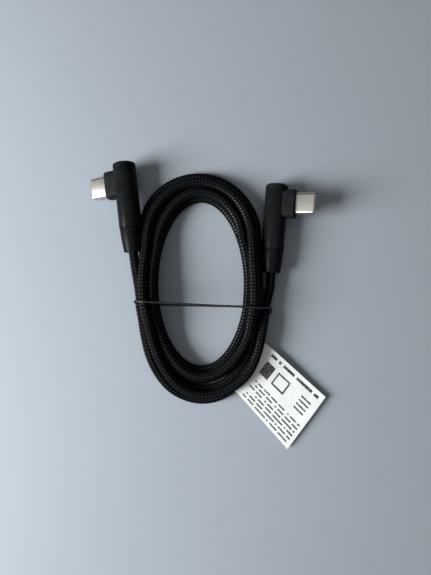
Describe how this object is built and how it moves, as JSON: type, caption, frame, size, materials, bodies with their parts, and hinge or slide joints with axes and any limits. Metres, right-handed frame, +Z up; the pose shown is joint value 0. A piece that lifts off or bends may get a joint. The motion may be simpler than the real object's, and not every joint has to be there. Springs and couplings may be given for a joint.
{
  "type": "charging cable",
  "caption": "Braided charging cable wound into an oval hank, with a right-angle plug on a cylindrical barrel at each end, a thin tie and a flag label.",
  "frame": {"origin": "centre of the bottom of the box round the two plugs, on the surface that the cable lies on", "axes": "+X from the left plug to the right plug, +Y from the hank's tail towards the plugs, +Z up"},
  "size_m": [0.0894, 0.1079, 0.0112],
  "materials": {
    "plug_steel": "bright satin",
    "contact_gold": "plated",
    "spring_steel": "plain",
    "carrier_plastic": "matte",
    "board": "solder mask",
    "chip": "matte",
    "wire_plastic": "plain",
    "mould_plastic": "plain",
    "collar_plastic": "matte",
    "barrel_metal": "black satin",
    "ring_brass": "plain",
    "relief_rubber": "satin",
    "braid": "woven",
    "tie_black": "gloss",
    "label_film": "semi-matte film"
  },
  "bodies": {
    "cable": {"plug_shell_a": "plug_steel", "contact_carrier_a": "carrier_plastic", "contacts_a": "contact_gold", "latch_springs_a": "spring_steel", "ground_springs_a": "spring_steel", "plug_board_a": "board", "board_parts_a": "chip", "core_wires_a": "wire_plastic", "inner_mould_a": "mould_plastic", "collar_a": "collar_plastic", "barrel_sleeve_a": "barrel_metal", "end_cap_a": "barrel_metal", "crimp_ring_a": "ring_brass", "strain_relief_a": "relief_rubber", "plug_shell_b": "plug_steel", "contact_carrier_b": "carrier_plastic", "contacts_b": "contact_gold", "latch_springs_b": "spring_steel", "ground_springs_b": "spring_steel", "plug_board_b": "board", "board_parts_b": "chip", "core_wires_b": "wire_plastic", "inner_mould_b": "mould_plastic", "collar_b": "collar_plastic", "barrel_sleeve_b": "barrel_metal", "end_cap_b": "barrel_metal", "crimp_ring_b": "ring_brass", "strain_relief_b": "relief_rubber", "cord_lead_a": "braid", "cord_lead_b": "braid", "cord_coil": "braid", "tie": "tie_black"},
    "label_flap": {"label": "label_film"}
  },
  "joints": [
    {"name": "label_fold", "type": "hinge", "parent": "cable", "child": "label_flap", "pos_m": [0.0208, -0.0567, 0.0028], "axis": [-0.6225, -0.7826, 0], "range_deg": [0, 75]}
  ]
}
